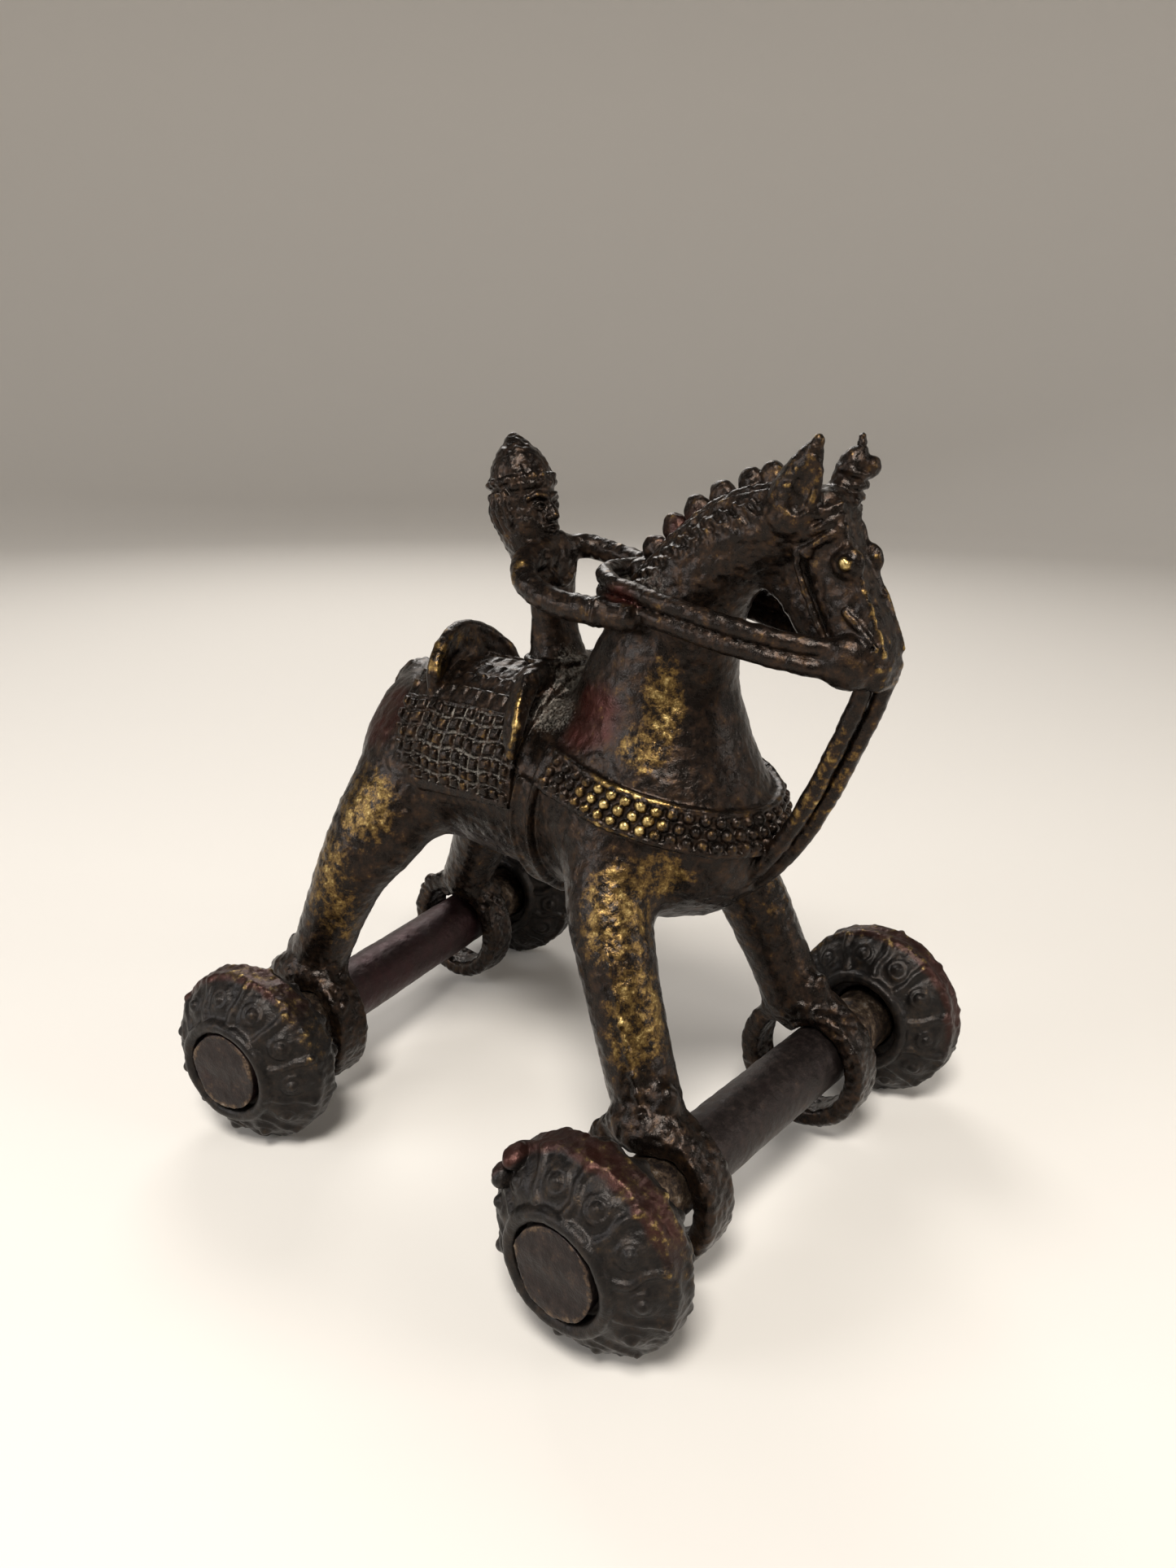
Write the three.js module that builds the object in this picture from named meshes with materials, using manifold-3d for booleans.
// A lost-wax cast bronze temple toy: a harnessed horse and its rider on two loose axles and four wheels.
// Millimetres, +Z up. The horse faces -Y and its left side is +X. The floor is z = 0.

import * as THREE from "three";
import { mergeVertices } from "three/addons/utils/BufferGeometryUtils.js";
import Module from "manifold-3d";

const wasm = await Module();
wasm.setup();

// ---- driving dimensions ----
const wheelRadius = 17;
const wheelHubHalfWidth = 8.9;
const wheelRimHalfWidth = 2;
const wheelBore = 6.3;
const hubMouthRadius = 7.9;
const hubMouthDepth = 3.5;
const wheelFacets = 20;
const halfTrack = 45.5; // from the median plane to the middle of a wheel
const frontAxleY = -44.6;
const rearAxleY = 44.6;
const rearAxleSkew = 0.19; // radians: the loose rear axle lies askew in its eyelets
const axleRadius = 5.9;
const peenedEndRadius = 7.2;
const axleHalfLength = halfTrack + wheelHubHalfWidth + 0.5;
const eyeletRadius = 11; // to the middle of the strap
const eyeletStrapHalfThickness = 1.6;
const eyeletStrapHalfWidth = 3.6;
const eyeletHeight = 15.1;
const gap = 0.3; // kept between pieces that touch
const centreY = 3.9; // from mid-wheelbase back to the middle of the overall box

// ---- materials ----
const patina = { color: 0x2b2019, roughness: 0.5, metalness: 0.8 };
const wornBrass = { color: 0x6b4e24, roughness: 0.42, metalness: 0.9 };
const darkWheel = { color: 0x2a2523, roughness: 0.55, metalness: 0.7 };
const iron = { color: 0x3a2c2b, roughness: 0.6, metalness: 0.6 };

// ---- helpers ----

// A closed tube through stations [x, y, z, half width, half depth]. The width runs along `across`, and
// `squareness` 2 is an ellipse, more is a rounded box. `grow` swells it evenly, to cut clearances with.
function loft(stations, { around = 16, steps = 12, across = [1, 0, 0], squareness = 2, grow = 0 } = {}) {
  const centres = new THREE.CatmullRomCurve3(stations.map((s) => new THREE.Vector3(s[0], s[1], s[2])));
  const sizes = new THREE.CatmullRomCurve3(stations.map((s) => new THREE.Vector3(s[3], s[4], 0)));
  const points = [];
  for (let i = 0; i <= steps; i += 1) {
    const t = i / steps;
    const centre = centres.getPoint(t);
    const size = sizes.getPoint(t);
    const along = centres.getTangent(t);
    const depth = new THREE.Vector3().crossVectors(along, new THREE.Vector3(...across)).normalize();
    const width = new THREE.Vector3().crossVectors(depth, along);
    const outward = (i === 0 ? -grow : 0) + (i === steps ? grow : 0);
    centre.addScaledVector(along, outward);
    if (i === 0) points.push(centre.clone());
    for (let j = 0; j < around; j += 1) {
      const angle = (2 * Math.PI * j) / around;
      const round = (value) => Math.sign(value) * Math.abs(value) ** (2 / squareness);
      const point = centre.clone();
      point.addScaledVector(width, (size.x + grow) * round(Math.cos(angle)));
      point.addScaledVector(depth, (size.y + grow) * round(Math.sin(angle)));
      points.push(point);
    }
    if (i === steps) points.push(centre.clone());
  }
  const last = points.length - 1;
  const faces = [];
  for (let j = 0; j < around; j += 1) {
    const next = (j + 1) % around;
    faces.push(0, 1 + next, 1 + j);
    for (let i = 0; i < steps; i += 1) {
      const low = 1 + i * around;
      const high = low + around;
      faces.push(low + j, low + next, high + next, low + j, high + next, high + j);
    }
    faces.push(last, last - around + j, last - around + next);
  }
  const geometry = new THREE.BufferGeometry().setFromPoints(points);
  geometry.setIndex(faces);
  return geometry;
}

// A flat outline in the (y, z) plane given thickness along x, centred on the median plane.
function sideOutline(shape, thickness, curveSegments = 8) {
  const settings = { depth: thickness, bevelEnabled: false, curveSegments };
  const geometry = new THREE.ExtrudeGeometry(shape, settings);
  geometry.translate(0, 0, -thickness / 2);
  geometry.rotateX(Math.PI / 2);
  geometry.rotateZ(Math.PI / 2);
  return geometry;
}

// Two round strands side by side, as one section swept along a path.
const strandCorners = 4;
function doubleStrand(route, strandRadius, { steps = 16, sideways = false, grow = 0 } = {}) {
  const radius = strandRadius + grow;
  const half = strandRadius * 0.9;
  const turn = sideways ? Math.PI / 2 : 0;
  const section = new THREE.Shape();
  const meet = Math.acos(half / radius);
  for (const side of [0, 1]) {
    for (let i = 0; i <= strandCorners; i += 1) {
      const angle = side * Math.PI - (Math.PI - meet) + (2 * (Math.PI - meet) * i) / strandCorners;
      const centre = side === 0 ? half : -half;
      const x = centre + radius * Math.cos(angle);
      const y = radius * Math.sin(angle);
      const u = x * Math.cos(turn) - y * Math.sin(turn);
      const v = x * Math.sin(turn) + y * Math.cos(turn);
      if (side === 0 && i === 0) section.moveTo(u, v);
      else section.lineTo(u, v);
    }
  }
  const path = new THREE.CatmullRomCurve3(route.map((p) => new THREE.Vector3(...p)));
  return new THREE.ExtrudeGeometry(section, { steps, bevelEnabled: false, extrudePath: path });
}

function solid(geometry) {
  const bare = geometry.clone();
  bare.deleteAttribute("normal");
  bare.deleteAttribute("uv");
  const merged = mergeVertices(bare, 1e-4);
  const vertProperties = Float32Array.from(merged.attributes.position.array);
  const triVerts = Uint32Array.from(merged.index.array);
  return new wasm.Manifold(new wasm.Mesh({ numProp: 3, vertProperties, triVerts }));
}

function geometryOf(body) {
  const mesh = body.getMesh();
  const geometry = new THREE.BufferGeometry();
  geometry.setAttribute("position", new THREE.BufferAttribute(mesh.vertProperties, 3));
  geometry.setIndex(new THREE.BufferAttribute(mesh.triVerts, 1));
  geometry.computeVertexNormals();
  return geometry;
}

const cut = (body, ...neighbours) => neighbours.reduce((left, other) => left.subtract(other), body);
const join = (...bodies) => bodies.reduce((left, other) => left.add(other));

function named(name, geometry, material) {
  const mesh = new THREE.Mesh(geometry, new THREE.MeshStandardMaterial(material));
  mesh.name = name;
  return mesh;
}

// ---- horse ----

const trunkStations = [
  [0, 41.2, 71.5, 3.5, 4.5],
  [0, 39.8, 71.3, 8, 8.5],
  [0, 36, 70.5, 12.3, 12.2],
  [0, 29, 69.6, 15.6, 15],
  [0, 18, 68.6, 17, 17],
  [0, 4, 68, 17, 17.8],
  [0, -10, 67, 17.6, 18.2],
  [0, -22, 66, 18.4, 18.4],
  [0, -30, 66, 16.2, 16.4],
  [0, -35.4, 67.4, 11.6, 11.8],
  [0, -38.8, 69, 6.8, 7.6],
  [0, -40.5, 69.8, 3, 3.5],
];
const neckStations = [
  [0, -21.6, 74, 15.4, 17.4],
  [0, -21.2, 84, 12.7, 15.1],
  [0, -22.8, 92, 10.4, 12.5],
  [0, -26, 100, 8.6, 10],
  [0, -30.5, 107, 7.2, 8],
  [0, -37, 112.8, 6.2, 7],
  [0, -44, 115.6, 5.4, 6],
  [0, -50, 116.4, 4.4, 4.6],
];
const headStations = [
  [0, -50.6, 119.6, 3.4, 2.6],
  [0, -51.2, 117, 4.5, 4.5],
  [0, -52.4, 111, 4.7, 5.2],
  [0, -55, 105, 4.2, 4.9],
  [0, -57.8, 99, 4.4, 4.6],
  [0, -58.6, 95, 4, 4.2],
  [0, -58.6, 93.4, 3, 3],
];
const trunk = (grow = 0) => solid(loft(trunkStations, { around: 22, steps: 18, grow }));
const neck = (grow = 0) => solid(loft(neckStations, { around: 18, steps: 12, grow }));
const head = (grow = 0) => solid(loft(headStations, { around: 14, steps: 9, squareness: 2.8, grow }));

// Legs bow outwards as they run from a hip inside the trunk down to the top of an axle eyelet.
const legPlaces = {
  front_right: { hip: [-11.6, -21.6, 64], foot: [-24, -38, 28.2], thigh: [7.8, 8] },
  front_left: { hip: [10.6, -21.4, 64], foot: [22.8, -37.2, 28.2], thigh: [8, 8] },
  rear_right: { hip: [-10.2, 26.8, 66], foot: [-25.6, 40.6, 28.2], thigh: [8.2, 12.2] },
  rear_left: { hip: [10.5, 28, 66], foot: [22.6, 47.4, 28.2], thigh: [8, 11.5] },
};
const shinRadius = 5.5;
function leg(place, grow = 0) {
  const { hip, foot, thigh } = legPlaces[place];
  const mix = (from, to, share) => from + (to - from) * share;
  // shares of the way out, along and down, then of the way from thigh to shin
  const stations = [[0, 0, 0, 0], [0.46, 0.2, 0.25, 0.36], [0.75, 0.5, 0.5, 0.74], [0.92, 0.8, 0.8, 0.96], [1, 1, 1, 1]];
  const rings = stations.map(([out, along, down, slim]) => [
    mix(hip[0], foot[0], out),
    mix(hip[1], foot[1], along),
    mix(hip[2], foot[2], down),
    mix(thigh[0], shinRadius, slim),
    mix(thigh[1], shinRadius, slim),
  ]);
  return solid(loft(rings, { around: 12, steps: 10, grow }));
}

// One strap loop at each foot, larger than the axle that hangs in it.
function eyelet(x, y, grow = 0) {
  const widthScale = (eyeletStrapHalfWidth + grow) / (eyeletStrapHalfThickness + grow);
  const ring = new THREE.TorusGeometry(eyeletRadius, eyeletStrapHalfThickness + grow, 8, 24);
  ring.scale(1, 1, widthScale);
  ring.rotateY(Math.PI / 2);
  ring.translate(x, y, eyeletHeight);
  return solid(ring);
}

const eyeletPlaces = {
  front_right: [-26, -42],
  front_left: [22.4, -42],
  rear_right: [-27.2, 41.8],
  rear_left: [23.8, 50.6],
};

// The roached mane is a thin upright crest with round teeth.
function maneCrest() {
  const base = new THREE.CatmullRomCurve3(
    [[-17, 103.2], [-20.6, 108.4], [-25.6, 113.2], [-31.4, 116.8], [-38, 119.7], [-42.5, 120.6]].map(
      ([y, z]) => new THREE.Vector3(y, z, 0),
    ),
  );
  const teeth = 7;
  const toothHeight = 2.6;
  const valleyHeight = 0.9;
  const pointsPerTooth = 6;
  const shape = new THREE.Shape();
  const total = teeth * pointsPerTooth;
  for (let i = 0; i <= total; i += 1) {
    const t = i / total;
    const place = base.getPoint(t);
    const along = base.getTangent(t);
    const phase = Math.abs(Math.sin((Math.PI * i) / pointsPerTooth));
    const height = valleyHeight + (toothHeight - valleyHeight) * Math.sqrt(phase);
    const y = place.x + along.y * height;
    const z = place.y - along.x * height;
    if (i === 0) shape.moveTo(y, z);
    else shape.lineTo(y, z);
  }
  shape.lineTo(-41, 114);
  shape.lineTo(-33, 111);
  shape.lineTo(-24, 103);
  shape.closePath();
  return sideOutline(shape, 2.8);
}

// A thin web fills the bend between throat and jaw, with an arch below it.
function throatWeb() {
  const shape = new THREE.Shape();
  shape.moveTo(-32, 101);
  shape.lineTo(-34.5, 101);
  shape.quadraticCurveTo(-39, 113, -48.5, 97.5);
  shape.lineTo(-56, 97);
  shape.lineTo(-52, 116);
  shape.lineTo(-32, 114);
  shape.closePath();
  return sideOutline(shape, 3.6);
}

const ear = (side, grow = 0) =>
  solid(
    loft(
      [
        [4 * side, -45.5, 117, 2.6, 3.4],
        [4.4 * side, -46.8, 120, 2.4, 3.3],
        [4.8 * side, -48.6, 124, 1.9, 2.4],
        [5 * side, -50.3, 128, 0.9, 1],
        [5 * side, -50.5, 128.7, 0.35, 0.35],
      ],
      { around: 10, steps: 7, grow },
    ),
  );

// The left ear came out of the mould misshapen: a ringed stub with a knob and a short tip.
function misshapenEar(grow = 0) {
  const stub = loft(
    [
      [4, -49.4, 117.5, 2.6, 2.8],
      [4.2, -50.4, 121, 2.5, 2.6],
      [4.6, -51.3, 124.4, 2.3, 2.4],
      [4.8, -51.8, 126, 1.1, 1.1],
      [5, -52.2, 128, 0.7, 0.7],
    ],
    { around: 10, steps: 8, grow },
  );
  const knob = new THREE.SphereGeometry(1.7 + grow, 10, 7);
  knob.translate(5.6, -53.4, 123.9);
  return join(solid(stub), solid(knob));
}

const eyeBoss = (side) => {
  const boss = new THREE.SphereGeometry(1.6, 10, 8);
  boss.translate(4.6 * side, -55, 111.2);
  return solid(boss);
};

const tail = (grow = 0) =>
  solid(
    loft(
      [
        [0.5, 33.4, 80.6, 4.5, 3.2],
        [0.8, 37.2, 80.2, 4.8, 3.8],
        [1, 40.6, 75.8, 4.2, 3.2],
        [1, 41.9, 69, 3.2, 2.6],
        [1, 41.6, 62, 2.4, 2],
        [1, 41, 59, 1.2, 1.1],
      ],
      { around: 10, steps: 9, grow },
    ),
  );

// ---- harness ----

const reinRadius = 1.45;
const reinSideRoute = (side) => [
  [4.4 * side, -57.5, 97.4],
  [7.6 * side, -50, 98.2],
  [9.8 * side, -40, 99.8],
  [10.8 * side, -30, 101.8],
  [10.6 * side, -24, 102.8],
];
const reinLoopRoute = [
  [-10.45, -23.4, 103],
  [-9.4, -18, 103.9],
  [-5.5, -13.6, 104.6],
  [0, -12, 104.8],
  [5.5, -13.6, 104.6],
  [9.4, -18, 103.9],
  [10.45, -23.4, 103],
];
const reinSide = (side, grow = 0) => solid(doubleStrand(reinSideRoute(side), reinRadius, { grow }));
const reinLoop = (grow = 0) => solid(doubleStrand(reinLoopRoute, reinRadius, { grow, steps: 20 }));

const reinKnob = (side, grow = 0) =>
  solid(
    loft(
      [
        [3.4 * side, -60, 97.4, 2.6, 3.4],
        [4.6 * side, -58.2, 97.2, 2.9, 4.2],
        [5.2 * side, -56, 97.3, 2.6, 3.8],
        [5.6 * side, -53.8, 97.6, 1.4, 2.4],
      ],
      { around: 10, steps: 6, grow },
    ),
  );

const leadStrapRoute = [
  [0, -58, 94.5],
  [0, -57.2, 90],
  [0, -55.2, 82],
  [0, -52.2, 75],
  [-0.2, -48.6, 68],
  [-0.6, -44.6, 62],
  [-1, -40, 57.4],
  [-1.5, -34.6, 53.6],
];
const leadStrap = (grow = 0) => solid(doubleStrand(leadStrapRoute, 1.25, { sideways: true, steps: 20, grow }));

const collarThickness = 2.1;
const collarHalfHeight = 3;
function collar(grow = 0) {
  const band = new THREE.BoxGeometry(60, 40, 2 * (collarHalfHeight + grow));
  band.translate(0, -20, 0);
  band.rotateX(0.22);
  band.translate(0, -9.4 + grow, 75.4);
  return join(trunk(collarThickness + grow), neck(collarThickness + grow)).intersect(solid(band));
}

const girthThickness = 1.6;
function girth(grow = 0) {
  const band = new THREE.BoxGeometry(60, 5 + 2 * grow, 32);
  band.translate(0, 0, -16);
  band.rotateX(0.22);
  band.translate(0, -7.6, 72.4);
  return trunk(girthThickness + grow).intersect(solid(band));
}

// ---- saddle and rider ----

const clothThickness = 1.5;
function saddleCloth(grow = 0) {
  const shape = new THREE.Shape();
  shape.moveTo(-3.5 - grow, 66.5 - grow);
  shape.lineTo(23.5 + grow, 65 - grow);
  shape.lineTo(29.5 + grow, 90);
  shape.lineTo(-4.5 - grow, 90);
  shape.closePath();
  return trunk(clothThickness + grow).intersect(solid(sideOutline(shape, 60)));
}

function cantle(grow = 0) {
  return solid(
    loft(
      [
        [-11.5, 21, 82.5, 1, 1.2],
        [-10, 21.6, 86, 1.3, 2.2],
        [-5.5, 22.8, 89.6, 1.5, 2.8],
        [-0.6, 23.4, 90.6, 1.6, 3],
        [4.4, 22.8, 89, 1.5, 2.8],
        [8.8, 21.6, 85.6, 1.3, 2.2],
        [10.4, 21, 82.5, 1, 1.2],
      ],
      { around: 10, steps: 14, across: [0, 1, 0], grow },
    ),
  );
}

const torso = (grow = 0) =>
  solid(
    loft(
      [
        [-0.5, 0.4, 82, 7.8, 6.6],
        [-0.5, 0.4, 88, 6.2, 5],
        [-0.6, 1.3, 94, 5, 3.4],
        [-0.8, 1.6, 100, 5.2, 2.7],
        [-1, 1.4, 106, 5.6, 2.8],
        [-1.2, 2, 109.3, 4, 2.6],
      ],
      { around: 14, steps: 10, squareness: 2.8, grow },
    ),
  );
const riderHead = (grow = 0) =>
  solid(
    loft(
      [
        [-1.4, 3.6, 107, 3.2, 3.2],
        [-1.7, 5, 109.6, 5, 4.8],
        [-2.1, 6.3, 113.5, 5.9, 5.8],
        [-2.4, 7.4, 118, 5.9, 5.8],
        [-2.4, 8, 121, 4.6, 4.6],
      ],
      { around: 14, steps: 8, grow },
    ),
  );
const cap = () =>
  solid(
    loft(
      [
        [-2.4, 7.7, 118.4, 5.7, 5.7],
        [-2.4, 7.9, 119.8, 6.1, 6.1],
        [-2.4, 8.2, 121.6, 5, 5],
        [-2.4, 8.8, 124.2, 3, 3],
        [-2.4, 9.3, 126.4, 1.1, 1.1],
      ],
      { around: 14, steps: 8 },
    ),
  );
const rightArm = (grow = 0) =>
  solid(
    loft(
      [
        [-4.5, 0.8, 108.2, 2.3, 2.3],
        [-9.5, 0.4, 106.8, 2.4, 2.4],
        [-12.6, -3.4, 103.6, 2.4, 2.4],
        [-13.2, -10, 101.6, 2.3, 2.3],
        [-12.8, -17, 101.2, 2.3, 2.3],
        [-12.2, -23.4, 100.4, 1.9, 2.1],
      ],
      { around: 10, steps: 14, across: [0, 0, 1], grow },
    ),
  );
const leftArm = (grow = 0) =>
  solid(
    loft(
      [
        [2.8, 1.2, 108.6, 2.2, 2.2],
        [6, -1.4, 108.4, 2.2, 2.2],
        [7.2, -7, 107.2, 2, 2],
        [6.6, -11.4, 106.2, 1.7, 1.7],
      ],
      { around: 10, steps: 8, across: [0, 0, 1], grow },
    ),
  );
const riderLeg = (side, grow = 0) =>
  solid(
    loft(
      [
        [6 * side, -3.2, 87.5, 2.4, 2.6],
        [11.5 * side, -5.2, 86.4, 2.4, 2.6],
        [15.8 * side, -5.6, 82.6, 2.2, 2.4],
        [18.2 * side, -5.2, 78.4, 1.7, 2],
        [18.9 * side, -4.8, 75.6, 0.8, 1],
      ],
      { around: 10, steps: 10, across: [0, 1, 0], grow },
    ),
  );

// ---- running gear ----

// Turned profiles hold [axial, radial] pairs. Radii are to the facets' flats.
function turned(profile, facets) {
  const flatToCorner = 1 / Math.cos(Math.PI / facets);
  const points = profile.map(([axial, radial]) => new THREE.Vector2(radial * flatToCorner, axial));
  const geometry = new THREE.LatheGeometry(points, facets, Math.PI / facets);
  geometry.rotateZ(-Math.PI / 2);
  return geometry;
}

function wheelGeometry() {
  const half = [
    [wheelRimHalfWidth, wheelRadius],
    [wheelRimHalfWidth + 0.9, wheelRadius - 0.9],
    [wheelHubHalfWidth - 3, 13.2],
    [wheelHubHalfWidth - 1.4, 10.9],
    [wheelHubHalfWidth, 9.6],
    [wheelHubHalfWidth, hubMouthRadius],
    [wheelHubHalfWidth - hubMouthDepth, hubMouthRadius],
    [wheelHubHalfWidth - hubMouthDepth, wheelBore],
  ];
  const inner = half.map(([axial, radial]) => [-axial, radial]).reverse();
  return turned([...inner, ...half, inner[0]], wheelFacets);
}

function axleGeometry() {
  const headStart = halfTrack + wheelHubHalfWidth - hubMouthDepth + gap;
  const half = [
    [headStart, axleRadius],
    [headStart + 0.6, peenedEndRadius - 0.3],
    [axleHalfLength - 0.7, peenedEndRadius],
    [axleHalfLength, peenedEndRadius - 1],
  ];
  const other = half.map(([axial, radial]) => [-axial, radial]).reverse();
  return turned([[-axleHalfLength, 0], ...other, ...half, [axleHalfLength, 0]], 16);
}

function axleSet(place, axleY, skew) {
  const set = new THREE.Group();
  set.position.set(0, axleY, wheelRadius);
  set.rotation.z = skew;
  set.add(named(`${place}_axle`, axleGeometry(), iron));
  for (const [hand, side] of [["right", -1], ["left", 1]]) {
    const wheel = named(`${place}_${hand}_wheel`, wheelGeometry(), darkWheel);
    wheel.position.x = side * halfTrack;
    set.add(wheel);
  }
  return set;
}

// ---- assembly ----

const toy = new THREE.Group();
toy.position.y = -centreY;

const addCasting = (name, body, material = patina) => toy.add(named(name, geometryOf(body), material));

addCasting("trunk", trunk());
addCasting("neck", cut(neck(), trunk(gap)));
addCasting("head", cut(head(), neck(gap)));
addCasting("throat_web", cut(solid(throatWeb()), neck(gap), head(gap)));
addCasting("mane_crest", cut(solid(maneCrest()), neck(gap), reinLoop(gap), ear(-1, gap), misshapenEar(gap)));
addCasting("right_ear", cut(ear(-1), neck(gap), head(gap)));
addCasting("left_ear", cut(misshapenEar(), neck(gap), head(gap)));
addCasting("tail", cut(tail(), trunk(gap)));

for (const [hand, side] of [["right", -1], ["left", 1]]) {
  addCasting(`${hand}_eye`, cut(eyeBoss(side), head(gap)), wornBrass);
  addCasting(`${hand}_rein_joint`, cut(reinKnob(side), head(gap)));
  addCasting(`${hand}_rein`, cut(reinSide(side), reinKnob(side, gap), head(gap), neck(gap)));
}
addCasting("rein_loop", cut(reinLoop(), neck(gap), reinSide(-1, gap), reinSide(1, gap)));
addCasting("lead_strap", cut(leadStrap(), head(gap), trunk(gap), reinKnob(-1, gap), reinKnob(1, gap)));
addCasting("breast_collar", cut(collar(), trunk(gap), neck(gap), leadStrap(gap)), wornBrass);

for (const [place, [x, y]] of Object.entries(eyeletPlaces)) {
  addCasting(`${place}_leg`, cut(leg(place), trunk(gap), eyelet(x, y, gap)));
  addCasting(`${place}_eyelet`, eyelet(x, y));
}

addCasting("girth", cut(girth(), trunk(gap), leg("front_right", gap), leg("front_left", gap), collar(gap)));
const seatNeighbours = [trunk(gap), neck(gap)];
addCasting("rider_body", cut(torso(), ...seatNeighbours, saddleCloth(gap)));
for (const [hand, side] of [["right", -1], ["left", 1]]) {
  const shape = cut(riderLeg(side), ...seatNeighbours, torso(gap), collar(gap), saddleCloth(gap));
  addCasting(`rider_${hand}_leg`, shape, wornBrass);
}
const hindLegs = [leg("rear_right", gap), leg("rear_left", gap)];
addCasting("saddle_cloth", cut(saddleCloth(), ...seatNeighbours, ...hindLegs, girth(gap)));
addCasting("saddle_cantle", cut(cantle(), trunk(gap), saddleCloth(gap)));
addCasting("rider_head", cut(riderHead(), torso(gap)));
addCasting("rider_cap", cut(cap(), riderHead(gap)));
const armNeighbours = [torso(gap), riderHead(gap), neck(gap), reinLoop(gap)];
addCasting("rider_right_arm", cut(rightArm(), ...armNeighbours, reinSide(-1, gap)));
addCasting("rider_left_arm", cut(leftArm(), ...armNeighbours, reinSide(1, gap)));

toy.add(axleSet("front", frontAxleY, 0));
toy.add(axleSet("rear", rearAxleY, rearAxleSkew));

export default toy;
